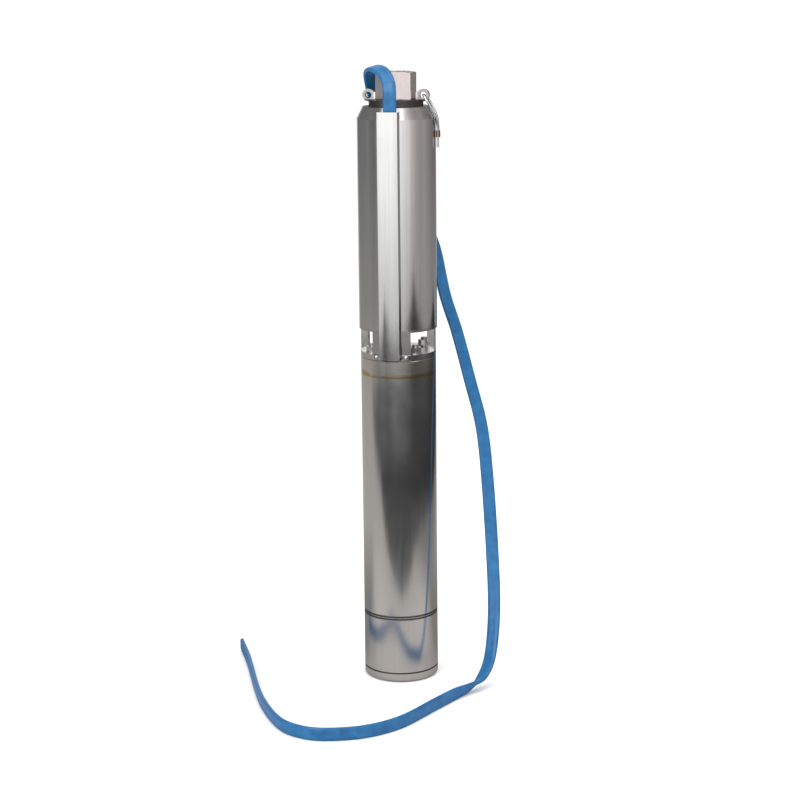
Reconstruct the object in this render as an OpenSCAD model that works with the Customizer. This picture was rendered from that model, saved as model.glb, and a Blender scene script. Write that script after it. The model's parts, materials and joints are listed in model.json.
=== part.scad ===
// Borehole submersible pump: motor below, multistage pump above, check valve and outlet on top.
// Millimetres, +Z up, origin at the middle of the face that it stands on, cable guard towards -Y.

/* [Motor] */
// Outside diameter of the motor
motor_d = 93; // [90:0.5:98]
// Wall of the motor shell
shell_wall = 1.5; // [1:0.1:2.5]
// Height from the floor to the motor's top face
motor_h = 412; // [400:1:440]
// Height of the base cap
base_h = 81; // [78:1:90]
// Height of the base ring under the groove
base_ring_h = 11; // [8:0.5:14]
// Rounding of the base ring's lower edge
base_round = 4; // [2:0.5:6]
// Wall of the base cap
cap_wall = 2; // [1.5:0.1:3]
// Thickness of the base cap's floor
cap_floor = 8; // [5:0.5:12]
// Height of the lower bracket's band between cap and shell
band_h = 7; // [5:0.5:9]
// Depth of the fine grooves
groove_depth = 1; // [0.4:0.1:1.2]
// Height of the end bell that shows above the shell
bell_h = 22; // [20:0.5:24]
// How far the bell and the bracket reach into the shell
spigot_h = 18; // [14:1:20]
// Height of the bell's pilot
pilot_h = 2; // [1.5:0.5:4]
// Diameter of the bell's pilot
pilot_d = 87.3; // [86.4:0.1:87.6]
// Circle of the four studs
stud_circle_d = 76.2; // [75:0.1:77]
// Diameter of the studs
stud_d = 8; // [6:0.5:9]

/* [Motor inside] */
// Distance from the shell's lower edge to the stator and rotor stacks
stack_rise = 62; // [60:1:66]
// Gap between the upper coil head and the end bell's hub
coil_room = 11; // [8:1:20]
// Height of each coil head
coil_h = 25; // [15:1:28]
// Diameter of the rotor
rotor_d = 44; // [40:0.5:46]
// Gap between rotor and stator
air_gap = 0.5; // [0.3:0.05:0.8]
// Diameter of the motor shaft
shaft_d = 16; // [14:0.5:18]
// Height of the shaft above the motor's top face
shaft_rise = 38; // [36:0.5:40]
// Teeth of the shaft's spline
spline_teeth = 14; // [10:1:16]
// Height of the spline's teeth
spline_depth = 1.2; // [0.8:0.1:1.5]
// Length of the spline
spline_l = 22; // [16:1:24]
// Number of thrust pads
pad_count = 6; // [4:1:8]
// Thickness of the thrust pads
pad_h = 6; // [4:0.5:7]
// Outside diameter of the thrust pads and their runner
pad_d = 50; // [44:1:56]
// Thickness of the thrust runner
runner_h = 8; // [6:0.5:10]
// Wall of the diaphragm
diaphragm_t = 2; // [1.5:0.1:2.5]

/* [Suction] */
// Height of the lantern from the motor's face to the sleeve
lantern_h = 38; // [36:0.5:42]
// Height of the lantern's lower ring
lantern_ring_h = 7; // [6.5:0.5:10]
// Height of the lantern's upper flange
lantern_top_h = 3; // [2.5:0.5:7]
// Width of the lantern's columns
column_w = 11; // [8:0.5:11.5]
// Radial depth of the columns
column_t = 9; // [6:0.5:10]
// Height of the inlet tube inside the sleeve
inlet_h = 30; // [28:0.5:34]
// Outside diameter of the strainer
strainer_d = 59; // [56:0.5:60]
// Thickness of the strainer
strainer_t = 1.5; // [1:0.1:2]
// Diameter of the strainer's holes
strainer_hole_d = 4; // [3:0.1:4.5]
// Holes in each row of the strainer
strainer_holes = 18; // [14:1:20]
// Diameter of the coupling
coupling_d = 26; // [24:0.5:28]

/* [Pump] */
// Outside diameter of the pump sleeve
sleeve_d = 96; // [95:0.5:99]
// Wall of the pump sleeve
sleeve_wall = 1.5; // [1:0.1:1.8]
// Height of one stage
stage_h = 23; // [22:0.5:24]
// Across the flats of the pump shaft
pump_shaft_af = 13; // [11:0.5:14]
// Diameter of the impellers
impeller_d = 78; // [70:0.5:80]
// Blades of each impeller
impeller_blades = 6; // [5:1:8]
// Blades of each diffuser
diffuser_blades = 8; // [6:1:10]
// Thickness of the blades
blade_t = 1.8; // [1.2:0.1:2.4]
// Height of the impeller's passage
passage_h = 5; // [4:0.25:5.5]
// Thickness of the impeller's shrouds
shroud_t = 1.5; // [1:0.1:1.8]
// Outside diameter of the impeller's eye
eye_d = 32; // [30:0.5:34]
// Outside diameter of the impeller's hub
hub_d = 20; // [18:0.5:21]
// Height of the top bearing's spider
spider_h = 20; // [18:0.5:24]

/* [Head] */
// Height of the head's skirt inside the sleeve
skirt_h = 19; // [18:0.5:24]
// Height of the shoulder
shoulder_h = 14; // [10:0.5:18]
// Diameter of the shoulder's upper edge
shoulder_d = 82; // [76:0.5:88]
// Diameter of the neck
neck_d = 66; // [62:0.5:70]
// Height of the neck
neck_h = 8; // [6:0.5:12]
// Across the flats of the hexagonal outlet
hex_af = 44; // [43:0.5:52]
// Height of the hexagon
hex_h = 33; // [30:0.5:40]
// Core diameter of the outlet's thread
outlet_d = 39; // [36:0.1:40]
// Length of the outlet's thread
thread_l = 30; // [24:0.5:32]
// Diameter of the lifting eyes' holes
eyelet_d = 8; // [6:0.5:9]
// Outside diameter of the lifting eyes
eyelet_od = 15; // [14:0.5:17]
// Thickness of the lifting eyes
eyelet_t = 7; // [5:0.5:9]
// Distance of the lifting eyes' holes from the axis
eyelet_x = 33.5; // [32:0.5:36]

/* [Valve] */
// Bore of the valve seat
seat_d = 34; // [30:0.5:36]
// Height of the valve seat
seat_h = 8; // [7:0.5:9]
// Diameter of the poppet
poppet_d = 42; // [40:0.5:44]
// Diameter of the poppet's stem
stem_d = 7; // [5:0.5:8]
// Lift of the poppet
lift = 9; // [6:0.5:10]
// Wire of the valve's spring
spring_wire = 1; // [0.8:0.1:1.2]
// Turns of the valve's spring
spring_turns = 4; // [3:0.5:5]

/* [Cable] */
// Width of the flat cable
cable_w = 16; // [12:0.5:16]
// Thickness of the flat cable
cable_t = 5.5; // [4:0.25:5.5]
// Sheet of the cable guard
guard_t = 0.8; // [0.6:0.1:1]
// Radius of the guard's bowed front
guard_bow_r = 45; // [30:1:80]
// Height of the guard's lower edge above the motor's face
guard_low = 2; // [1:0.5:3]
// Height of the guard's upper edge above the sleeve
guard_over = 10; // [8:0.5:12]
// Diameter of the guard's screws
screw_d = 3; // [2.5:0.5:4.5]
// Diameter of the wire loop on the right lifting eye
wire_d = 3; // [2:0.1:3]

/* [Clearances] */
// Clearance of pieces that are seated in each other
seat_gap = 0.05; // [0.02:0.01:0.1]
// Clearance of shafts and stems in their bearings
run_gap = 0.05; // [0.02:0.01:0.1]
// Clearance of pieces that pass each other
pass_gap = 0.3; // [0.2:0.05:0.5]
// Clearance between the impellers and the plates of their stages
stage_gap = 1; // [0.6:0.1:1.5]

/* [Hidden] */
$fn = 64;
stage_count = 8;
motor_r = motor_d / 2;
shell_ir = motor_r - shell_wall;
shaft_r = shaft_d / 2;
sleeve_r = sleeve_d / 2;
sleeve_ir = sleeve_r - sleeve_wall;
stack_r = sleeve_ir - seat_gap;
rotor_r = rotor_d / 2;
eye_r = eye_d / 2;
hub_r = hub_d / 2;
coupling_r = coupling_d / 2;
coupling_rise = 14;

// Heights along the motor
shell_z = base_h + band_h;
groove_h = 2 * groove_depth;
land_h = 1;
bell_z = motor_h - bell_h;
stack_z = shell_z + stack_rise;
shaft_top = motor_h + shaft_rise;
spline_z = shaft_top - spline_l;
spline_r = shaft_r - 0.3;
bush_wall = 5;
hub_wall = 6;
hub_play = 1;
bush_l = 24;
web_h = 12;
web_z = shell_z - web_h;
pad_z = shell_z + 10;
runner_z = pad_z + pad_h + run_gap;
ledge_z = base_h - 17;
rim_h = 3;
lower_bush_z = pad_z - 4 - bush_l;
shaft_z = lower_bush_z - 4;
upper_bush_l = 32;
upper_bush_z = motor_h - 12 - upper_bush_l;
bell_hub_z = upper_bush_z - 2;
stack_top = bell_hub_z - coil_room - coil_h;
stack_l = stack_top - stack_z;
seal_h = 8;
seal_z = motor_h - 2 - seal_h;
seal_r = shaft_r + 6;
stud_hole_depth = 16;
washer_h = 1.6;
nut_h = 6.5;
nut_af = 13;

// Heights along the pump
sleeve_z = motor_h + lantern_h;
stage_z = sleeve_z + inlet_h;
spider_z = stage_z + stage_count * stage_h;
head_z = spider_z + spider_h;
sleeve_top = head_z + skirt_h;
neck_z = sleeve_top + shoulder_h;
hex_z = neck_z + neck_h;
top_z = hex_z + hex_h;
hex_turn = -5;
ring_top = motor_h + lantern_ring_h;
flange_z = sleeve_z - lantern_top_h;
lower_shroud_z = 2.5 + stage_gap;
upper_shroud_z = lower_shroud_z + shroud_t + passage_h;
mid_plate_z = upper_shroud_z + shroud_t + stage_gap;
plate_t = 2;
column_angles = [-90, -24, 24, 90, 180];
shaft_end = head_z + 5;
top_bush_wall = 4;

// Heights of the valve
seat_z = head_z;
valve_z = seat_z + seat_h;
seal_ring_h = 1.2;
poppet_z = valve_z + run_gap + seal_ring_h;
poppet_h = 3.5;
spring_spare = 1.25;
guide_z = poppet_z + poppet_h + lift + spring_wire * (spring_turns + 1) + spring_spare;
guide_h = 4;
stem_top = guide_z + guide_h + 6;
chamber_r = 25;
seat_rim = 5;
spigot_r = seat_d / 2 - 1;
eyelet_z = hex_z + 5;

// Guard and cable
wall_r = max(motor_r, sleeve_r);
cable_room = 0.25;
cable_y = wall_r + cable_room + cable_t / 2;
bow_rise = guard_bow_r - sqrt(pow(guard_bow_r, 2) - pow(cable_w / 2, 2));
guard_y = cable_y + cable_t / 2 + pass_gap + guard_t + bow_rise;
guard_room = 3.2;
guard_flare = 1.6;
guard_top_w = cable_w / 2 + guard_room + guard_t;
guard_foot_w = guard_top_w + guard_flare;
guard_foot_y = sqrt(pow(wall_r + pass_gap, 2) - pow(guard_foot_w, 2));
head_side_y = sqrt(pow(sleeve_r + pass_gap, 2) - pow(guard_foot_w, 2));
guard_z = motor_h + guard_low;
guard_top = sleeve_top + guard_over;
ear_reach = 4.57;
ear_angle = asin((guard_foot_w + ear_reach) / motor_r);
ear_t = 2;
ear_lap = 0.25;
ear_or = max(motor_r + seat_gap + ear_t, wall_r + pass_gap + ear_lap);
ear_z = motor_h + pilot_h + screw_d / 2 + 0.8;
plug_edge = 10.5;
plug_y = motor_r - plug_edge;
plug_d = 12;
plug_depth = 13;
plug_top = motor_h + 15;

// Route of the lead from the motor's plug up under the guard, to one side of it at the top
lead_side = guard_room - pass_gap;
lead_end_l = 20;
lead_route = [
    [0, -plug_y - 3, plug_top], [0, -plug_y - 3, plug_top + 2], [0, -plug_y - 6, plug_top + 5.5],
    [0, -cable_y + 4, plug_top + 10], [0, -cable_y + 0.8, plug_top + 14], [0, -cable_y, flange_z],
    [0, -cable_y, sleeve_z], [lead_side, -cable_y, guard_top - lead_end_l], [lead_side, -cable_y, guard_top]
];
// Tongues of the guard's upper end in the head
tongue_w = 2.4;
tongue_h = 3;
tongue_bite = 2.5;
tongue_x = guard_foot_w - guard_t / 2 - tongue_w / 2;
tongue_in = head_side_y - tongue_bite;
tongue_out = guard_foot_y + tongue_bite;
tongue_z = sleeve_top + 4;

// Route of the free cable, from the guard's upper edge, over the head, behind the pump and along the floor
cable_route = [
    [2.9, -51, 713], [2.9, -51, 721], [2.9, -51, 730], [2.7, -50.3, 738], [0.9, -47, 747],
    [-5, -40, 756.5], [-14.5, -29.5, 762], [-25.5, -14.2, 762.5], [-32.5, 1.5, 757], [-34.5, 16, 744.5],
    [-34.5, 29, 729], [-33, 40, 708], [-29, 49, 683], [-22, 56, 652], [-9, 60, 620],
    [8, 61, 590], [24, 60, 562], [36, 58.5, 533], [49.2, 52, 479.3], [63.5, 54, 433.4],
    [80.5, 49, 373.8], [96.3, 43, 316.8], [105.3, 33, 256.3], [114.7, 15, 164], [120.7, -6, 91.3],
    [119.9, -29, 39.5], [112.7, -48, 16.3], [101, -66, 8.4], [85, -96, 8.2], [68, -134, 8.2],
    [40, -196, 8.2], [5, -233, 8.2], [-38, -250, 8.2], [-70, -247, 8.2], [-100, -226, 8.2],
    [-132, -176, 8.2], [-158, -120, 8.2], [-195, -26, 8.2], [-223, 38, 8.2]
];
// Direction of the flat cable's width at each point of its route
cable_width = [
    [1, 0, 0], [1, 0, 0], [1, 0, 0], [0.99, 0.01, 0.11], [0.94, 0.1, 0.32],
    [0.85, 0.33, 0.41], [0.8, 0.5, 0.32], [0.8, 0.55, 0.24], [0.82, 0.48, 0.3], [0.86, 0.4, 0.32],
    [0.76, 0.53, 0.38], [0.72, 0.6, 0.35], [0.8, 0.51, 0.3], [0.87, 0.34, 0.36], [0.89, 0.13, 0.44],
    [0.87, -0.11, 0.48], [0.93, -0.1, 0.4], [0.95, -0.1, 0.3], [1, 0.1, 0.3], [0.98, 0.21, 0.3],
    [0.98, 0.21, 0.2], [0.98, 0.2, 0.15], [0.98, 0.2, 0.1], [0.98, 0.1, 0], [0.95, -0.2, 0],
    [0.9, -0.4, 0], [0.8, -0.6, 0.15], [0.45, -0.35, 0.8], [0.1, 0, 1], [0, 0, 1],
    [0, 0, 1], [0, 0, 1], [0, 0, 1], [0, 0, 1], [0, 0, 1],
    [0, 0, 1], [0, 0, 1], [0, 0, 1], [0, 0, 1]
];
cable_rings = 2;
// Route of the wire loop, from its cut end up through the ferrule, through the eye and back into the ferrule
wire_route = [
    [51.4, -1.8, 668], [51.4, -1.8, 680], [51.4, -1.8, 688], [51, -2.4, 695], [49.9, -3.6, 702],
    [47.6, -4.9, 709], [44, -6.2, 716], [39.8, -7.2, 723], [36.2, -5.6, 727.4], [34.4, -2.8, 729.4],
    [33.8, 0, 730], [34.4, 2.8, 729.4], [36.2, 5.6, 727.4], [39.8, 7.2, 723], [44, 6.2, 716],
    [47.6, 4.9, 709], [49.9, 3.6, 702], [51, 2.4, 695], [51.4, 1.8, 688], [51.4, 1.8, 682]
];
wire_side = [for (p = wire_route) [1, 0, 0.9]];
ferrule_z = 680;
ferrule_h = 8;
ferrule_wall = 0.9;

STAGES = [for (i = [1:stage_count]) i];

// Shared shapes

module ring(r_in, r_out, h, z = 0) {
    translate([0, 0, z])
    difference() {
        cylinder(r = r_out, h = h);
        translate([0, 0, -1]) cylinder(r = r_in, h = h + 2);
    }
}

module hex_bar(af, h, z = 0) {
    translate([0, 0, z]) rotate(30) cylinder(d = af / cos(30), h = h, $fn = 6);
}

module at_studs() {
    for (a = [45:90:315]) rotate(a) translate([stud_circle_d / 2, 0, 0]) children();
}

// Curved blade between two radii, part of a ring whose centre lies off the axis
module blade(r_in, r_out, bend_r, centre_x, h, z) {
    intersection() {
        ring(r_in, r_out, h, z);
        translate([centre_x, 0, 0]) ring(bend_r - blade_t / 2, bend_r + blade_t / 2, h, z);
        translate([-r_out, 0, z - 1]) cube([2 * r_out, r_out, h + 2]);
    }
}

module blades(count, r_in, r_out, bend_r, centre_x, h, z) {
    for (i = [0:count - 1]) rotate(i * 360 / count) blade(r_in, r_out, bend_r, centre_x, h, z);
}

module spline(r, depth, count, h, z) {
    step = 360 / count;
    translate([0, 0, z])
    linear_extrude(h)
    polygon([for (i = [0:count - 1], s = [[-0.32, 0], [-0.18, 1], [0.18, 1], [0.32, 0]])
        (r - depth + s[1] * depth) * [cos((i + s[0]) * step), sin((i + s[0]) * step)]]);
}

// Vector helpers and a smooth curve through a list of points

function unit(v) = v / norm(v);
function curve_point(a, b, c, d, t) =
    0.5 * (2 * b + (c - a) * t + (2 * a - 5 * b + 4 * c - d) * t * t + (3 * b - a - 3 * c + d) * t * t * t);
function clamp_index(list, i) = list[max(0, min(len(list) - 1, i))];
function curve_at(list, i, t) =
    curve_point(clamp_index(list, i - 1), list[i], clamp_index(list, i + 1), clamp_index(list, i + 2), t);
function smooth(list, steps) = concat(
    [for (i = [0:len(list) - 2], k = [0:steps - 1]) curve_at(list, i, k / steps)],
    [list[len(list) - 1]]
);
function tangent(path, i) = unit(clamp_index(path, i + 1) - clamp_index(path, i - 1));
function flatten_to(v, t) = unit(v - (v * t) * t);

// Outline of a flat cord with round edges, or of a round one where both sizes are equal
function cord_section(w, t, sides) =
    [for (k = [0:sides - 1]) let (a = (k + 0.5) * 360 / sides, s = sign(round(1000 * cos(a))))
        [(w - t) / 2 * s + t / 2 * cos(a), t / 2 * sin(a)]];

module sweep(path, widths, section) {
    count = len(section);
    points = [for (i = [0:len(path) - 1])
        let (t = tangent(path, i), w = flatten_to(widths[i], t), n = cross(t, w))
        for (s = section) path[i] + s[0] * w + s[1] * n];
    sides = [for (i = [0:len(path) - 2], k = [0:count - 1])
        let (a = i * count + k, b = i * count + (k + 1) % count)
        each [[a, a + count, b + count], [a, b + count, b]]];
    first = [for (k = [0:count - 1]) k];
    last = [for (k = [count - 1:-1:0]) (len(path) - 1) * count + k];
    polyhedron(points, concat(sides, [first, last]));
}

// Motor

module base_cap() {
    inner_r = motor_r - 2 * cap_wall - 0.5;
    vent_d = 6;
    vent_r = 20;
    color("silver")
    difference() {
        rotate_extrude() {
            difference() {
                union() {
                    translate([0, base_round]) square([motor_r, base_h - base_round]);
                    square([motor_r - base_round, base_h]);
                    translate([motor_r - base_round, base_round]) circle(base_round);
                }
                translate([motor_r - groove_depth, base_ring_h]) square([groove_depth + 1, groove_h]);
                translate([0, cap_floor]) square([inner_r, base_h]);
                translate([0, ledge_z]) square([motor_r - cap_wall, base_h]);
            }
        }
        for (a = [0:120:240]) rotate(a) translate([vent_r, 0, -1]) cylinder(d = vent_d, h = cap_floor + 2);
    }
}

module diaphragm() {
    flange_r = motor_r - cap_wall - seat_gap;
    cup_r = motor_r - 2 * cap_wall - 4;
    fold_r = 7;
    fold_drop = (ledge_z - cap_floor) / 2;
    cup_rise = fold_drop / 2;
    fold_z = ledge_z - fold_drop;
    inner_r = cup_r - 2 * fold_r + diaphragm_t;
    color("#2a2a2a")
    rotate_extrude() {
        translate([cup_r - diaphragm_t, ledge_z]) square([flange_r - cup_r + diaphragm_t, rim_h]);
        translate([cup_r - diaphragm_t, fold_z]) square([diaphragm_t, ledge_z + rim_h - fold_z]);
        translate([cup_r - fold_r, fold_z])
        intersection() {
            difference() {
                circle(fold_r);
                circle(fold_r - diaphragm_t);
            }
            translate([-fold_r, -fold_r]) square([2 * fold_r, fold_r]);
        }
        translate([inner_r - diaphragm_t, fold_z]) square([diaphragm_t, cup_rise]);
        translate([0, fold_z + cup_rise - diaphragm_t]) square([inner_r, diaphragm_t]);
    }
}

module lower_bracket() {
    hub_or = shaft_r + bush_wall + hub_wall;
    low_z = ledge_z + rim_h;
    bore_r = shaft_r + hub_play;
    skirt_wall = 6;
    pad_rim = 2;
    oil_hole_d = 6;
    oil_hole_r = 34;
    color("#b9b6ae")
    difference() {
        union() {
            ring(bore_r, motor_r, band_h, base_h);
            ring(bore_r, shell_ir - seat_gap, spigot_h, shell_z);
            ring(bore_r, motor_r - cap_wall - seat_gap, base_h - low_z, low_z);
        }
        for (z = [base_h + land_h, shell_z - land_h - groove_h])
            ring(motor_r - groove_depth, motor_r + 1, groove_h, z);
        ring(pad_d / 2 + pad_rim, shell_ir - skirt_wall, spigot_h + 1, shell_z);
        translate([0, 0, pad_z]) cylinder(r = pad_d / 2 + pad_rim + 1, h = spigot_h + 1);
        ring(hub_or, motor_r - cap_wall - skirt_wall, web_z - low_z + 1, low_z - 1);
        translate([0, 0, lower_bush_z]) cylinder(r = shaft_r + bush_wall + seat_gap, h = bush_l);
        for (a = [0:60:300])
            rotate(a) translate([oil_hole_r, 0, web_z - 1]) cylinder(d = oil_hole_d, h = web_h + 2);
    }
}

module lower_bush() {
    color("#6b6f73") ring(shaft_r + run_gap, shaft_r + bush_wall, bush_l, lower_bush_z);
}

module thrust_pads() {
    slot_w = 3;
    inner_gap = 3;
    color("#8f8a80")
    difference() {
        ring(shaft_r + inner_gap, pad_d / 2, pad_h, pad_z);
        for (i = [0:pad_count - 1])
            rotate(i * 360 / pad_count) translate([0, -slot_w / 2, pad_z - 1]) cube([pad_d, slot_w, pad_h + 2]);
    }
}

module thrust_runner() {
    color("#55585c") ring(shaft_r + seat_gap, pad_d / 2, runner_h, runner_z);
}

module motor_shell() {
    color("silver") ring(shell_ir, motor_r, bell_z - shell_z, shell_z);
}

module stator_core() {
    color("#7d8288") ring(rotor_r + air_gap, shell_ir - seat_gap, stack_l, stack_z);
}

module stator_windings() {
    rotor_room = 2.5;
    shell_room = 2;
    round_r = 6;
    coil_ir = rotor_r + air_gap + rotor_room;
    coil_t = shell_ir - shell_room - coil_ir;
    color("#a8582c")
    for (z = [stack_z - coil_h, stack_top])
        translate([0, 0, z])
        rotate_extrude() {
            translate([coil_ir, round_r]) square([coil_t, coil_h - 2 * round_r]);
            translate([coil_ir + round_r, 0]) square([coil_t - 2 * round_r, coil_h]);
            for (x = [coil_ir + round_r, coil_ir + coil_t - round_r], y = [round_r, coil_h - round_r])
                translate([x, y]) circle(round_r);
        }
}

module rotor_core() {
    color("#8b8f94") ring(shaft_r + seat_gap, rotor_r, stack_l, stack_z);
}

module rotor_end_rings() {
    ring_h = 10;
    bore_r = shaft_r + 6;
    step = 0.5;
    color("#c9c9c6")
    for (z = [stack_z - ring_h, stack_top]) ring(bore_r, rotor_r - step, ring_h, z);
}

module motor_shaft() {
    color("#c4c6c8") {
        translate([0, 0, shaft_z]) cylinder(r = shaft_r, h = spline_z - shaft_z);
        spline(spline_r, spline_depth, spline_teeth, spline_l + 1, spline_z - 1);
    }
}

module upper_bush() {
    color("#6b6f73") ring(shaft_r + run_gap, shaft_r + bush_wall, upper_bush_l, upper_bush_z);
}

module motor_end_bell() {
    bell_hub_r = shaft_r + bush_wall + hub_wall;
    chamfer = 1;
    spigot_wall = 7;
    color("#c8c3b4")
    difference() {
        union() {
            translate([0, 0, bell_z]) cylinder(r = motor_r, h = bell_h - chamfer);
            translate([0, 0, motor_h - chamfer]) cylinder(r1 = motor_r, r2 = motor_r - chamfer, h = chamfer);
            ring(shell_ir - spigot_wall, shell_ir - seat_gap, spigot_h, bell_z - spigot_h);
            translate([0, 0, bell_hub_z]) cylinder(r = bell_hub_r, h = bell_z - bell_hub_z + 1);
            translate([0, 0, motor_h - 1]) cylinder(d = pilot_d, h = pilot_h + 1);
        }
        translate([0, 0, bell_hub_z - 1]) cylinder(r = shaft_r + hub_play, h = motor_h);
        translate([0, 0, upper_bush_z]) cylinder(r = shaft_r + bush_wall + seat_gap, h = upper_bush_l);
        translate([0, 0, seal_z]) cylinder(r = seal_r + seat_gap, h = bell_h);
        translate([0, -plug_y, motor_h - plug_depth - 1]) cylinder(d = plug_d + 2 * seat_gap, h = bell_h);
        at_studs() translate([0, 0, motor_h - stud_hole_depth]) cylinder(d = stud_d, h = bell_h);
    }
}

module shaft_seal() {
    color("#1f1f1f") ring(shaft_r + run_gap, seal_r, seal_h, seal_z);
}

module motor_studs() {
    stud_end = 3;
    stud_l = stud_hole_depth + lantern_ring_h + washer_h + nut_h + stud_end;
    color("#b5b7b9")
    at_studs() translate([0, 0, motor_h - stud_hole_depth]) cylinder(r = stud_d / 2 - seat_gap, h = stud_l);
}

module stud_washers() {
    color("#c9cbcd") at_studs() ring(stud_d / 2 + seat_gap, stud_d, washer_h, ring_top);
}

module stud_nuts() {
    color("#b5b7b9")
    at_studs()
    difference() {
        hex_bar(nut_af, nut_h, ring_top + washer_h);
        translate([0, 0, ring_top]) cylinder(r = stud_d / 2 + seat_gap, h = washer_h + nut_h + 1);
    }
}

// Lead from the motor, up under the guard

module lead_plug() {
    block_w = cable_w + 2;
    block_l = 12;
    corner = 4;
    color("#22262b") {
        translate([0, -plug_y, motor_h - plug_depth]) cylinder(d = plug_d, h = plug_depth + pilot_h + 1);
        difference() {
            translate([-block_w / 2, -plug_y - block_l / 2, motor_h + pilot_h])
                cube([block_w, block_l, plug_top - motor_h - pilot_h]);
            for (s = [-1, 1])
                translate([s * block_w / 2, -plug_y - block_l / 2, 0])
                rotate(45) cube([corner, corner, 4 * motor_h], center = true);
        }
    }
}

module guarded_lead() {
    color("#1763a8") sweep(lead_route, [for (p = lead_route) [1, 0, 0]], cord_section(cable_w, cable_t, 8));
}

// Suction end

module sand_slinger() {
    slinger_z = motor_h + pilot_h + pass_gap;
    skirt_r = 19;
    neck_r = 12;
    slinger_h = 6;
    color("#242424")
    translate([0, 0, slinger_z])
    difference() {
        union() {
            cylinder(r1 = skirt_r, r2 = neck_r, h = slinger_h - 1);
            cylinder(r = neck_r, h = slinger_h);
        }
        translate([0, 0, -1]) cylinder(r = shaft_r + seat_gap, h = slinger_h + 2);
    }
}

module suction_lantern() {
    strainer_rim = 2.5;
    inlet_r = strainer_d / 2 - strainer_rim;
    column_r = motor_r - 0.5;
    ring_ir = 24;
    inlet_wall = 4;
    notch_w = cable_w + 4;
    notch_l = 18.5;
    screw_hole_l = 12;
    color("#a9abad")
    difference() {
        union() {
            ring(ring_ir, motor_r, lantern_ring_h, motor_h);
            for (a = column_angles)
                rotate(a - 90)
                translate([column_r - column_t, -column_w / 2, ring_top - 1])
                cube([column_t, column_w, flange_z - ring_top + 2]);
            ring(inlet_r, sleeve_r, lantern_top_h, flange_z);
            ring(stack_r - inlet_wall, stack_r, inlet_h, sleeve_z);
        }
        translate([0, 0, motor_h - 1]) cylinder(d = pilot_d + 4 * seat_gap, h = pilot_h + 1 + seat_gap);
        at_studs() translate([0, 0, motor_h - 1]) cylinder(d = stud_d + 2 * pass_gap, h = lantern_ring_h + 2);
        translate([-notch_w / 2, -motor_r - 1, motor_h - 1])
            cube([notch_w, notch_l, lantern_ring_h + 2]);
        at_screws()
            rotate([0, 90, 0]) translate([0, 0, -screw_hole_l]) cylinder(d = screw_d, h = 2 * screw_hole_l);
    }
}

// Places of the guard's two screws, with X pointing outwards
module at_screws() {
    for (s = [-1, 1]) rotate(s * ear_angle - 90) translate([motor_r, 0, ear_z]) children();
}

// Perforated plate under the flange, round the coupling
module strainer() {
    inner_r = coupling_r + stage_gap;
    outer_r = strainer_d / 2;
    row_pitch = (outer_r - inner_r) / 2;
    color("#6f7377")
    difference() {
        ring(inner_r, outer_r, strainer_t, flange_z - strainer_t);
        for (row = [0, 1], i = [0:strainer_holes - 1])
            rotate((i + row / 2) * 360 / strainer_holes)
            translate([inner_r + (row + 0.5) * row_pitch, 0, flange_z - 2 * strainer_t])
            cylinder(d = strainer_hole_d, h = 3 * strainer_t, $fn = 32);
    }
}

module shaft_coupling() {
    low_z = motor_h + coupling_rise;
    color("#b9bbbd")
    difference() {
        translate([0, 0, low_z]) cylinder(r = coupling_r, h = stage_z - low_z);
        spline(spline_r + seat_gap, spline_depth, spline_teeth, spline_l + 2, spline_z - 1);
        translate([0, 0, low_z - 1]) cylinder(r = shaft_r + seat_gap, h = spline_z - low_z + 1);
        hex_bar(pump_shaft_af + 2 * seat_gap, stage_z, shaft_top + 1);
    }
}

module pump_shaft() {
    color("#c4c6c8") hex_bar(pump_shaft_af, shaft_end - shaft_top - 1, shaft_top + 1);
}

// Stages

module impeller(i) {
    z = stage_z + (i - 1) * stage_h;
    rim_r = impeller_d / 2;
    eye_wall = 2;
    bend_r = rim_r * 0.72;
    bend_x = rim_r * 0.66;
    root = 0.5;
    color("#cfd1d2")
    translate([0, 0, z])
    difference() {
        union() {
            cylinder(r = hub_r, h = stage_h);
            ring(eye_r - eye_wall, eye_r, lower_shroud_z + shroud_t, 0);
            ring(eye_r - eye_wall, rim_r, shroud_t, lower_shroud_z);
            ring(hub_r - 1, rim_r, shroud_t, upper_shroud_z);
            blades(impeller_blades, hub_r - 1, rim_r - root, bend_r, bend_x,
                passage_h + 2 * root, lower_shroud_z + shroud_t - root);
        }
        hex_bar(pump_shaft_af + 2 * seat_gap, stage_h + 2, -1);
    }
}

module diffuser(i) {
    z = stage_z + (i - 1) * stage_h;
    bowl_ir = stack_r - 2;
    floor_t = 2.5;
    root = 0.5;
    mid_r = impeller_d / 2 + 0.5;
    bend_r = mid_r * 0.8;
    bend_x = mid_r * 0.62;
    blade_ir = hub_r + 3;
    color("#b4b7b9")
    translate([0, 0, z]) {
        ring(bowl_ir, stack_r, stage_h);
        ring(eye_r + pass_gap, bowl_ir + root, floor_t);
        ring(hub_r + pass_gap, mid_r, plate_t, mid_plate_z);
        blades(diffuser_blades, blade_ir, bowl_ir + root, bend_r, bend_x,
            stage_h - pass_gap - mid_plate_z - plate_t / 2, mid_plate_z + plate_t / 2);
    }
}

// Top bearing

module bearing_spider() {
    bush_or = hub_r + top_bush_wall + seat_gap;
    hub_t = 4;
    rim_t = 5;
    arm_w = 4;
    arm_h = spider_h - 8;
    color("#b4b7b9") {
        ring(bush_or, bush_or + hub_t, spider_h - 2, spider_z);
        ring(stack_r - rim_t, stack_r, spider_h, spider_z);
        difference() {
            for (a = [45:90:315])
                rotate(a) translate([0, -arm_w / 2, spider_z + 2]) cube([stack_r - rim_t + 1, arm_w, arm_h]);
            translate([0, 0, spider_z]) cylinder(r = bush_or + 1, h = spider_h);
        }
    }
}

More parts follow.
